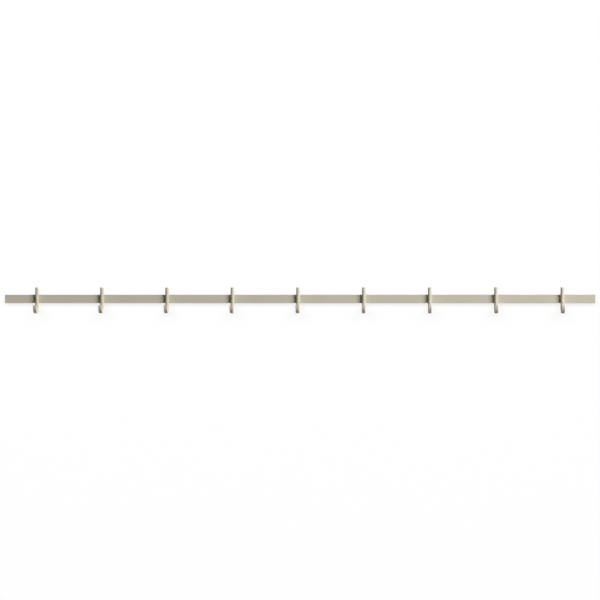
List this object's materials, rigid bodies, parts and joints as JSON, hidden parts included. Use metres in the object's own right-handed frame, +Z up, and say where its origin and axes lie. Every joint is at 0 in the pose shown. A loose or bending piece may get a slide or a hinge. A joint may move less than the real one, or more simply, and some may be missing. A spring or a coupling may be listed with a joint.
{
  "type": "hook rail",
  "caption": "Long flat wall bar with evenly spaced J hooks of D-section bar across its front, held off the wall by hidden stand-offs.",
  "frame": {"origin": "on the wall plane, at the mouth of the middle stand-off's bore, behind the middle of the bar", "axes": "+X along the bar, to the right as seen from the front; +Y into the wall; +Z up"},
  "size_m": [1.395, 0.051, 0.061],
  "materials": {
    "powder_coat": "satin greige powder coat with a fine orange-peel texture",
    "zinc_plate": "bright zinc plating"
  },
  "bodies": {
    "root": {"rail_bar": "powder_coat", "hook_1": "powder_coat", "hook_2": "powder_coat", "hook_3": "powder_coat", "hook_4": "powder_coat", "hook_5": "powder_coat", "hook_6": "powder_coat", "hook_7": "powder_coat", "hook_8": "powder_coat", "hook_9": "powder_coat", "standoff_left": "powder_coat", "standoff_centre": "powder_coat", "standoff_right": "powder_coat", "set_screws": "zinc_plate"}
  },
  "joints": []
}
